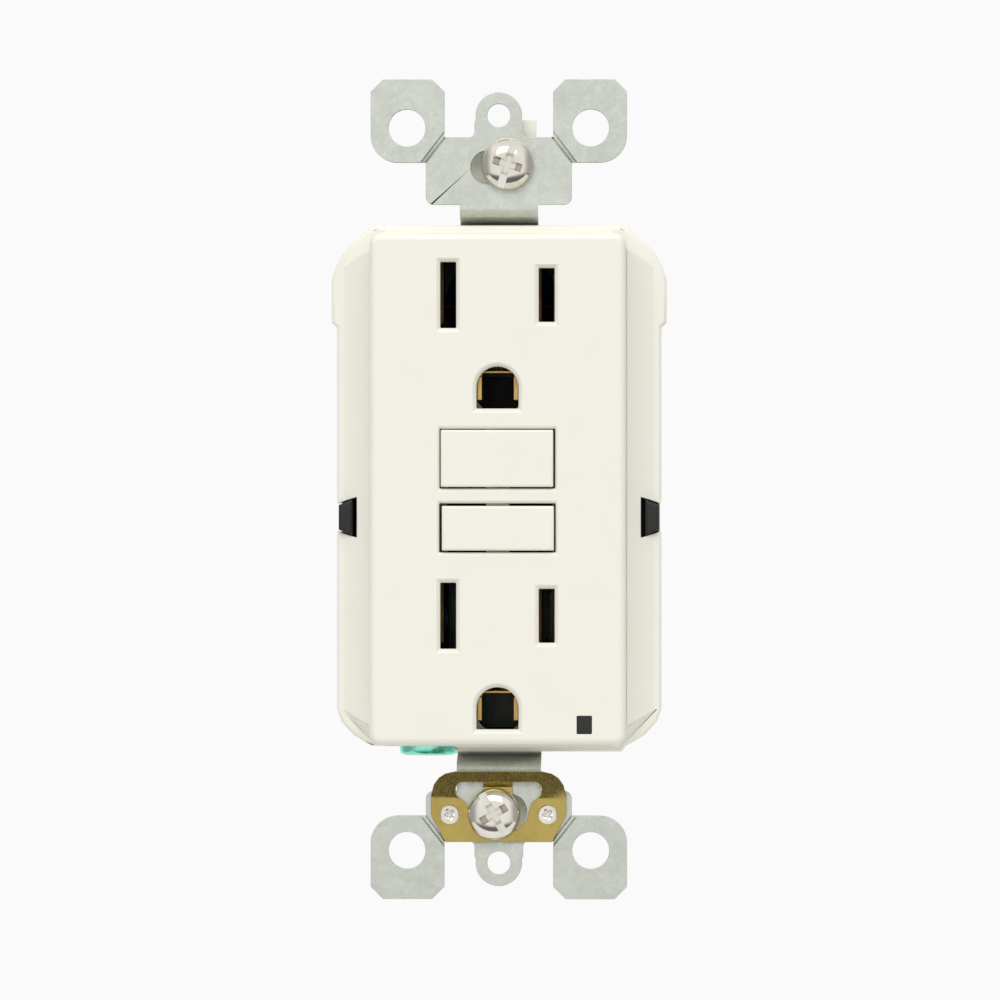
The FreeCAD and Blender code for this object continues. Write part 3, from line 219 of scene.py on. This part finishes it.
FINISHES = {
    "almond_plastic": plastic("almond_plastic", (240, 238, 226), (237, 234, 222), 0.42, 0.006, 0.3),
    "black_plastic": plastic("black_plastic", (17, 17, 17), (24, 23, 22), 0.5, 0.02, 0.3),
    "white_plastic": plastic("white_plastic", (216, 214, 204), (204, 201, 190), 0.4),
    "galvanised_steel": galvanised(),
    "nickel_plate": metal("nickel_plate", (232, 229, 220), (206, 201, 190), 0.11, 0.004, 0.4),
    "zinc_plate": metal("zinc_plate", (196, 197, 194), (170, 171, 168), 0.32),
    "clip_brass": brushed_brass("clip_brass", (186, 166, 96), (166, 142, 74), 0.2),
    "contact_brass": brushed_brass("contact_brass", (206, 172, 104), (160, 126, 66), 0.28),
    # Brass and copper darkened as painted shade for the parts seen deep inside the face slots
    "shade_painted_brass": brushed_brass("shade_painted_brass", (112, 84, 48), (74, 52, 30), 0.45),
    "shade_painted_copper": metal("shade_painted_copper", (104, 58, 38), (62, 34, 24), 0.5),
    "contact_silver": metal("contact_silver", (226, 225, 220), (200, 197, 188), 0.25),
    "green_screw": metal("green_screw", (150, 240, 215), (90, 214, 184), 0.2, 0.01),
    "spring_steel": metal("spring_steel", (168, 168, 170), (128, 126, 122), 0.28),
    "coil_iron": metal("coil_iron", (150, 150, 154), (110, 108, 106), 0.42, 0.02),
    "copper": metal("copper", (205, 118, 70), (150, 74, 40), 0.26),
    "ring_epoxy": plastic("ring_epoxy", (40, 62, 120), (30, 48, 98), 0.22, 0.03, 0.8),
    "board_laminate": laminate(),
    "component_black": plastic("component_black", (26, 26, 27), (38, 37, 36), 0.45, 0.015, 0.2),
    "absorber_blue": plastic("absorber_blue", (36, 78, 160), (28, 60, 130), 0.2, 0.03, 1.0),
    "capacitor_yellow": plastic("capacitor_yellow", (214, 170, 50), (196, 150, 38), 0.3),
    "resistor_body": plastic("resistor_body", (196, 172, 132), (176, 150, 110), 0.28),
    "lamp_body": plastic("lamp_body", (206, 226, 200), (190, 214, 184), 0.12,
                         Transmission_Weight=0.6, IOR=1.5),
    "smoked_lens": plastic("smoked_lens", (18, 20, 18), (12, 13, 12), 0.12, 0.002),
    "floor": plastic("floor", (244, 243, 240), (236, 235, 231), 0.6, 0.05, 4.0),
    "fibre": plastic("fibre", (247, 245, 236), (238, 234, 220), 0.75, 0.03, 0.5),
}
SLOT_OF = {node: slot for slot, names in SLOTS.items() for node in names}
# The face bars and line conductors take these darker finishes: painted shade for the depth of the slots,
# not tarnish
SHADE_PAINTED = {"hot_face_bar": "shade_painted_brass", "neutral_face_bar": "shade_painted_brass",
        "line_conductors": "shade_painted_copper"}
FINE_EDGE, WIDE_EDGE = 0.06, 0.12  # mm, how far an edge is rounded
WIDE_EDGED = ("front_cover", "reset_button", "test_button")


def dress(item, slot, finish=None):
    """Gives the item one finish: its slot's own, or the finish named instead."""
    item.data.materials.clear()
    item.data.materials.append(FINISHES[finish or slot])


def refine(item, width, angle=28):
    """Joins the split corners of a CAD mesh and rounds its edges a little so that they catch the light."""
    for name in ("custom_normal", "sharp_edge", "sharp_face"):
        if name in item.data.attributes:
            item.data.attributes.remove(item.data.attributes[name])
    weld = item.modifiers.new("joined", "WELD")
    weld.merge_threshold = 0.002 * MM
    flat = item.modifiers.new("flat_faces", "DECIMATE")
    flat.decimate_type = "DISSOLVE"
    flat.angle_limit = math.radians(0.4)
    rounded = item.modifiers.new("rounded", "BEVEL")
    rounded.width = width * MM
    rounded.segments = 2
    rounded.limit_method = "ANGLE"
    rounded.angle_limit = math.radians(angle)
    rounded.use_clamp_overlap = False
    rounded.miter_outer = "MITER_SHARP"
    even = item.modifiers.new("even", "WEIGHTED_NORMAL")
    even.keep_sharp = False
    even.weight = 80


# ---- mesh building ---------------------------------------------------------------------------


def axes(direction):
    """Two directions square to this one, so that a turn from the first to the second runs round it."""
    along = Vector(direction).normalized()
    first = Vector((0, 0, 1)) if abs(along.z) < 0.9 else Vector((1, 0, 0))
    second = along.cross(first).normalized()
    return along, first, second


def ring_point(centre, direction, height, radius, turn):
    """A point at this height and radius about the axis through the centre."""
    along, first, second = axes(direction)
    return Vector(centre) + along * height + (first * math.cos(turn) + second * math.sin(turn)) * radius


def add_grid(work, rows, closed_rows=False, closed_columns=True):
    """Faces between rows of points."""
    lines = [[work.verts.new(point) for point in row] for row in rows]
    pairs = list(zip(lines, lines[1:])) + ([(lines[-1], lines[0])] if closed_rows else [])
    for low, high in pairs:
        count = len(low)
        for spot in range(count if closed_columns else count - 1):
            after = (spot + 1) % count
            corners = [low[spot], low[after], high[after], high[spot]]
            work.faces.new(corners)
    return lines


def add_lathe(work, centre, direction, profile, steps=48):
    """A turned solid. The profile lists (height, radius); a disc closes its first and its last ring."""
    turns = [2 * math.pi * step / steps for step in range(steps)]
    rows = [[ring_point(centre, direction, height, radius, turn) for turn in turns]
            for height, radius in profile]
    lines = add_grid(work, rows)
    work.faces.new(lines[0])
    work.faces.new(lines[-1])


def add_thread(work, centre, direction, start, end, crest, root, pitch, steps=24):
    """A threaded shank from start to end along the axis, with its point slightly tapered."""
    per_turn = 6
    count = int(abs(end - start) / pitch * per_turn) + 1
    rows = []
    for row in range(count + 1):
        height = start + (end - start) * row / count
        taper = min(1.0, (count - row) / (per_turn * 1.5) + 0.3)
        line = []
        for step in range(steps):
            share = (height / pitch - step / steps) % 1.0
            tooth = 1 - abs(2 * share - 1)
            radius = root + (crest - root) * min(1.0, tooth * 1.25) * taper
            line.append(ring_point(centre, direction, height, radius, 2 * math.pi * step / steps))
        rows.append(line)
    lines = add_grid(work, rows)
    work.faces.new(lines[0])
    work.faces.new(lines[-1])


def add_helix(work, centre, direction, low, high, coil_radius, wire_radius, turns, per_turn=28, sides=10):
    """A coil spring with its end turns laid flat."""
    total = int(turns * per_turn)
    along, first, second = axes(direction)
    rows = []
    for step in range(total + 1):
        share = step / total
        flat_end = 0.75 / turns
        rise = min(1.0, max(0.0, (share - flat_end) / (1 - 2 * flat_end)))
        height = low + wire_radius + (high - low - 2 * wire_radius) * rise
        turn = 2 * math.pi * step / per_turn
        out = first * math.cos(turn) + second * math.sin(turn)
        middle = Vector(centre) + along * height + out * coil_radius
        rows.append([middle + (out * math.cos(a) + along * math.sin(a)) * wire_radius
                     for a in (2 * math.pi * side / sides for side in range(sides))])
    lines = add_grid(work, rows)
    work.faces.new(lines[0])
    work.faces.new(lines[-1])


def add_block(work, low, high):
    across, along, up = zip(low, high)
    points = [work.verts.new((x, y, z)) for x in across for y in along for z in up]
    for face in ((0, 1, 3, 2), (4, 6, 7, 5), (0, 4, 5, 1), (2, 3, 7, 6), (0, 2, 6, 4), (1, 5, 7, 3)):
        work.faces.new([points[index] for index in face])


def add_wedge(work, centre, direction, turn, half_width, half_length, top, bottom, shrink):
    """A tapering cutter for a screw recess: wide at the top and narrower at the bottom."""
    along, first, second = axes(direction)
    way = first * math.cos(turn) + second * math.sin(turn)
    side = along.cross(way)
    points = []
    for height, scale in ((top, 1.0), (bottom, shrink)):
        for a, b in ((-1, -1), (-1, 1), (1, 1), (1, -1)):
            reach = way * a * half_length + side * b * half_width
            points.append(work.verts.new(Vector(centre) + along * height + reach * scale))
    for face in ((0, 1, 2, 3), (7, 6, 5, 4), (0, 4, 5, 1), (1, 5, 6, 2), (2, 6, 7, 3), (3, 7, 4, 0)):
        work.faces.new([points[index] for index in face])


def fill_mesh(mesh, mesh_maker, start=None):
    """Writes the shape that mesh_maker draws in millimetres to the mesh, beside what start holds."""
    work = bmesh.new()
    mesh_maker(work)
    bmesh.ops.remove_doubles(work, verts=work.verts, dist=0.0005)
    bmesh.ops.recalc_face_normals(work, faces=work.faces)
    bmesh.ops.scale(work, vec=(MM, MM, MM), verts=work.verts)
    if start:
        work.from_mesh(start)
    work.to_mesh(mesh)
    work.free()
    mesh.shade_smooth()
    mesh.set_sharp_from_angle(angle=math.radians(32))


def made(name, mesh_maker, slot):
    """A new piece from the shape that mesh_maker draws in millimetres."""
    mesh = bpy.data.meshes.new(name)
    fill_mesh(mesh, mesh_maker)
    item = bpy.data.objects.new(name, mesh)
    scene.collection.objects.link(item)
    dress(item, slot)
    return item


def carved(item, *cutter_makers):
    """Takes the shapes that the makers draw out of the item, one after another."""
    for number, maker in enumerate(cutter_makers):
        cutter = made("%s_cutter_%d" % (item.name, number), maker, "zinc_plate")
        tool = item.modifiers.new("carve", "BOOLEAN")
        tool.operation = "DIFFERENCE"
        tool.solver = "EXACT"
        tool.object = cutter
        shape = item.evaluated_get(bpy.context.evaluated_depsgraph_get())
        mesh = bpy.data.meshes.new_from_object(shape)
        item.modifiers.clear()
        item.data = mesh
        bpy.data.objects.remove(cutter)


# ---- screws ----------------------------------------------------------------------------------


def dome(radius, height, rise, edge, steps=12):
    """(height, radius) points of a domed head from its rim to its middle."""
    points = [(height - rise, radius)]
    for step in range(1, steps):
        angle = math.pi / 2 * step / steps
        points.append((height - rise + rise * math.sin(angle), edge + (radius - edge) * math.cos(angle)))
    points.append((height, edge))
    points.append((height, CENTRE))
    return points


def cross(turn, half_width, half_length, top, bottom, shrink):
    """Two recesses of one size, square to each other."""
    return [Recess(way, half_width, half_length, top, bottom, shrink) for way in (turn, turn + CROSS)]


def screw(name, node, body, places, outward, profile, thread, recesses):
    """Screws of one kind: turned heads with their recesses cut in, and threaded shanks.

    All heights are above the head's seat, in millimetres, so a shank ends at a negative height.
    """
    def heads(work):
        for place in places:
            add_lathe(work, place, outward, profile, 60)

    def shanks(work):
        for place in places:
            add_thread(work, place, outward, SEAT_OVERLAP, *thread)

    def cutter(turn, *size):
        def shape(work):
            for place in places:
                add_wedge(work, place, outward, turn, *size)
        return shape

    item = made(name, heads, SLOT_OF[node])
    carved(item, *[cutter(*recess) for recess in recesses])
    fill_mesh(item.data, shanks, item.data.copy())
    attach(item, body)
    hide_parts(node)


def mounting_screw(node, place, turn):
    """A machine screw with a bright domed head and a slot crossed by a cruciform recess."""
    head = 2.2
    profile = [(0.0, CENTRE), (0.0, 3.25), (0.12, 3.4)] + dome(3.42, head, 1.75, 0.9)
    slot = Recess(turn, 0.5, 3.9, head + 0.4, head - 0.95, 1.0)
    recesses = [slot] + cross(turn, 0.55, 2.1, head + 0.1, head - 1.6, 0.5)
    screw(node + "_turned", node, node, [place], TO_FRONT, profile,
          Thread(-25.4, 1.72, 1.36, PITCH), recesses)


def terminal_screw(node, side, up):
    """A binding screw with a wide flat head, a slot and a cross."""
    place = (16.8 * side, 11.2, 15.5 * up)
    profile = [(0.0, CENTRE), (0.0, 3.95), (0.15, 4.1), (1.5, 4.1),
               (1.9, 3.95), (2.12, 3.6), (2.2, 3.1), (2.2, CENTRE)]
    turn = 0.6
    recesses = [Recess(turn, 0.55, 4.4, 2.6, 1.2, 1.0)] + cross(turn, 0.6, 2.3, 2.3, 0.7, 0.5)
    screw(node + "_turned", node, node, [place], (side, 0, 0), profile,
          Thread(-4.7, 2.0, 1.6, PITCH), recesses)


def ground_screw():
    """A slotted screw below the cover, turned from the lower end of the object."""
    place = (-9.4, 9.2, -33.0)
    profile = [(0.0, CENTRE), (0.0, 3.7), (0.12, 3.85), (1.1, 3.85),
               (1.45, 3.7), (1.66, 3.3), (1.7, 2.9), (1.7, CENTRE)]
    screw("ground_screw_turned", "ground_screw", "ground_screw", [place], DOWN, profile,
          Thread(-5.6, 2.0, 1.6, PITCH), [Recess(0.0, 0.5, 4.2, 2.2, 0.8, 1.0)])


def clip_rivets():
    """Rivets whose heads are spread by a star punch into four lobes."""
    places = [(across, -1.6, -42.1) for across in (-6.35, 6.35)]
    shank_end, shank_radius = -1.6, 0.75
    profile = [(shank_end, CENTRE), (shank_end, shank_radius), (-0.01, shank_radius), (0.0, 1.18),
               (0.14, 1.25), (0.26, 1.12), (0.3, 0.8), (0.3, CENTRE)]

    def heads(work):
        for place in places:
            add_lathe(work, place, TO_FRONT, profile, 40)

    def punch(turn, *size):
        def shape(work):
            for place in places:
                add_wedge(work, place, TO_FRONT, turn, *size)
        return shape

    item = made("clip_rivets_staked", heads, "nickel_plate")
    carved(item, *[punch(*recess) for recess in cross(0.5, 0.26, 1.02, 0.5, 0.02, 0.35)])
    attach(item, "housing")
    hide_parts("clip_rivets")


def assembly_screws():
    """Four long screws that hold the two shells together from the back."""
    places = [(across, 12.0, up) for across in (-15.9, 15.9) for up in (-26.4, 26.4)]
    profile = [(0.0, CENTRE), (0.0, 2.2), (0.1, 2.3)] + dome(2.3, 1.8, 1.3, 0.6)
    screw("assembly_screws_turned", "assembly_screws", "housing", places, TO_BACK, profile,
          Thread(-11.6, 1.15, 0.85, 0.8), cross(0.4, 0.4, 1.5, 2.0, 0.8, 0.5))


# ---- springs and windings --------------------------------------------------------------------


def spring(node, places, direction, fixed, moving, coil_radius, wire_radius, turns):
    """Wound springs, coiled along the direction between the heights fixed and moving."""
    low, high = sorted((fixed, moving))

    def shape(work):
        for place in places:
            add_helix(work, place, direction, low, high, coil_radius, wire_radius, turns)

    def end(height):
        middle = [sum(spots) / len(places) for spots in zip(*places)]
        return [(spot + way * height) * MM for spot, way in zip(middle, direction)]

    item = made(node + "_wound", shape, "spring_steel")
    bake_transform(item)
    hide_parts(node)


SOLENOID_DEPTH = 14.6


def coil():
    """Enamelled wire in close turns round the bobbin."""
    wire, inside, outside = 0.19, 2.8, 4.0
    low, high = -23.0, -9.2
    arc_steps = 5

    def shape(work):
        rows = int((high - low) / (2 * wire))
        profile = [(low, inside)]
        for turn in range(rows):
            base = low + turn * 2 * wire
            for step in range(arc_steps):
                angle = math.pi * step / arc_steps
                profile.append((base + wire - wire * math.cos(angle), outside + wire * math.sin(angle)))
        profile.append((high, inside))
        add_lathe(work, (0, SOLENOID_DEPTH, 0), UP, profile, 40)

    item = made("solenoid_coil_wound", shape, "copper")
    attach(item, "housing")
    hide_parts("solenoid_coil")


def wound_ring(node, front):
    """A coated ring core with a close winding of fine wire, which shows as ribs round it."""
    height = 1.85
    middle = Vector((0, front + height, 23.9))
    inner, outer, turns = 3.4, 7.4, 84
    corner, flank, groove = 0.35, 0.75, 0.94
    section = [(inner, -flank), (inner + corner, -1.0), (outer - corner, -1.0), (outer, -flank),
               (outer, flank), (outer - corner, 1.0), (inner + corner, 1.0), (inner, flank)]
    centre_radius = (inner + outer) / 2

    def shape(work):
        rows = []
        for step in range(turns * 2):
            turn = math.pi * step / turns
            shrink = 1.0 if step % 2 else groove
            out = Vector((math.cos(turn), 0, math.sin(turn)))
            rows.append([middle + out * (centre_radius + (radius - centre_radius) * shrink)
                         + Vector((0, share * height * shrink, 0)) for radius, share in section])
        add_grid(work, rows, closed_rows=True)

    item = made(node + "_wound", shape, "ring_epoxy")
    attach(item, "housing")
    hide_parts(node)


def solder_joints():
    """Small cones of solder where the legs of the parts come through the board."""
    board_back = 21.6
    spots = [(-8.9, -19.5), (-8.9, -14.5), (-3.2, -4.99), (3.2, -4.99), (7.4, -20.5), (7.4, -13.0),
             (9.6, -7.6), (9.6, -0.9), (-9.6, -8.1), (-9.6, -1.4), (-9.6, 8.4), (-9.6, 15.1),
             (5.6, 11.5), (7.4, 9.4), (7.4, 13.6), (11.1, -30.35)]
    cone = [(0.0, CENTRE), (0.0, 0.75), (0.12, 0.6), (0.3, 0.4), (0.45, 0.24), (0.5, CENTRE)]

    def shape(work):
        for across, up in spots:
            add_lathe(work, (across, board_back, up), TO_BACK, cone, 16)

    item = made("solder_joints", shape, "contact_silver")
    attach(item, "housing")


# ---- put together ----------------------------------------------------------------------------

for name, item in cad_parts.items():
    dress(item, SLOT_OF[name], SHADE_PAINTED.get(name))
    refine(item, WIDE_EDGE if name in WIDE_EDGED else FINE_EDGE)

mounting_screw("upper_mounting_screw", (1.15, -1.2, 42.05), math.radians(-17))
mounting_screw("lower_mounting_screw", (-0.6, -1.6, -42.05), math.radians(30))
for side_name, side in (("hot", 1), ("neutral", -1)):
    for end_name, up in (("load", 1), ("line", -1)):
        terminal_screw("%s_%s_screw" % (side_name, end_name), side, up)
ground_screw()
clip_rivets()
assembly_screws()
for button, up, coil_radius, wire_radius in (("reset", 3.93, 1.95, 0.4), ("test", -4.99, 1.9, 0.38)):
    spring(button + "_spring", [(0, 0, up)], TO_BACK, fixed=3.5, moving=-2.3,
           coil_radius=coil_radius, wire_radius=wire_radius, turns=6.5)
spring("plunger_spring", [(0, SOLENOID_DEPTH, 0)], UP, fixed=-8.2, moving=-13.9,
       coil_radius=1.55, wire_radius=0.22, turns=8.0)
spring("carrier_springs", [(-6, 0, 5), (6, 0, 5)], TO_BACK, fixed=6.05, moving=8.75,
       coil_radius=0.975, wire_radius=0.19, turns=5.0)
coil()
wound_ring("fault_sensing_ring", front=12.0)
wound_ring("neutral_sensing_ring", front=15.9)
solder_joints()

# ---- studio ----------------------------------------------------------------------------------


def studio_light(name, place, target, size, power, colour=(1.0, 1.0, 1.0)):
    lamp = bpy.data.lights.new(name, "AREA")
    lamp.shape = "RECTANGLE"
    lamp.size, lamp.size_y = size
    lamp.energy = power
    lamp.color = colour
    item = bpy.data.objects.new(name, lamp)
    scene.collection.objects.link(item)
    item.location = place
    item.rotation_euler = (Vector(target) - Vector(place)).to_track_quat("-Z", "Y").to_euler()


def studio_world():
    """Even white surroundings that fade towards the sides and below."""
    world = bpy.data.worlds.new("studio")
    scene.world = world
    world.use_nodes = True
    tree = world.node_tree
    tree.nodes.clear()

    def fade(value, start, end, low, high):
        ramp = tree.nodes.new("ShaderNodeMapRange")
        ramp.interpolation_type = "SMOOTHSTEP"
        for key, number in (("From Min", start), ("From Max", end), ("To Min", low), ("To Max", high)):
            ramp.inputs[key].default_value = number
        tree.links.new(value, ramp.inputs["Value"])
        return ramp.outputs["Result"]

    def calculate(operation, *values):
        math_node = tree.nodes.new("ShaderNodeMath")
        math_node.operation = operation
        for place, value in enumerate(values):
            tree.links.new(value, math_node.inputs[place])
        return math_node.outputs["Value"]

    way = tree.nodes.new("ShaderNodeTexCoord")
    split = tree.nodes.new("ShaderNodeSeparateXYZ")
    tree.links.new(way.outputs["Generated"], split.inputs["Vector"])
    sideways = fade(calculate("ABSOLUTE", split.outputs["X"]), 0.62, 0.97, 0.955, 0.42)
    below = fade(split.outputs["Z"], -0.52, -0.3, 0.16, 1.0)
    glow = tree.nodes.new("ShaderNodeBackground")
    glow.inputs["Color"].default_value = (1.0, 1.0, 1.0, 1.0)
    tree.links.new(calculate("MULTIPLY", sideways, below), glow.inputs["Strength"])
    out = tree.nodes.new("ShaderNodeOutputWorld")
    tree.links.new(glow.outputs["Background"], out.inputs["Surface"])


def floor():
    """A pale floor, far enough below the object to stay out of the picture."""
    def shape(work):
        add_block(work, (-700, -250, -322), (700, 900, -320))

    item = made("floor", shape, "floor")


def camera():
    """Looks straight at the face, from a little to the right of it."""
    distance, aside = 1.19, 0.033
    shown_width = 129.6008 * MM
    middle_across, middle_up = 0.13 * MM, -1.4 * MM
    view = bpy.data.cameras.new("camera")
    view.sensor_width = 36.0
    view.lens = view.sensor_width * distance / shown_width
    view.clip_start = 0.05
    view.clip_end = 20.0
    item = bpy.data.objects.new("camera", view)
    scene.collection.objects.link(item)
    item.location = (middle_across + aside, -distance, middle_up)
    item.rotation_euler = (math.pi / 2, 0.0, math.atan2(aside, distance))
    scene.camera = item


studio_world()
floor()
camera()
studio_light("key", place=(-0.05, -0.9, 0.75), target=(0, 0, 0), size=(0.9, 0.5), power=4.8)
scene.view_settings.view_transform = "Standard"
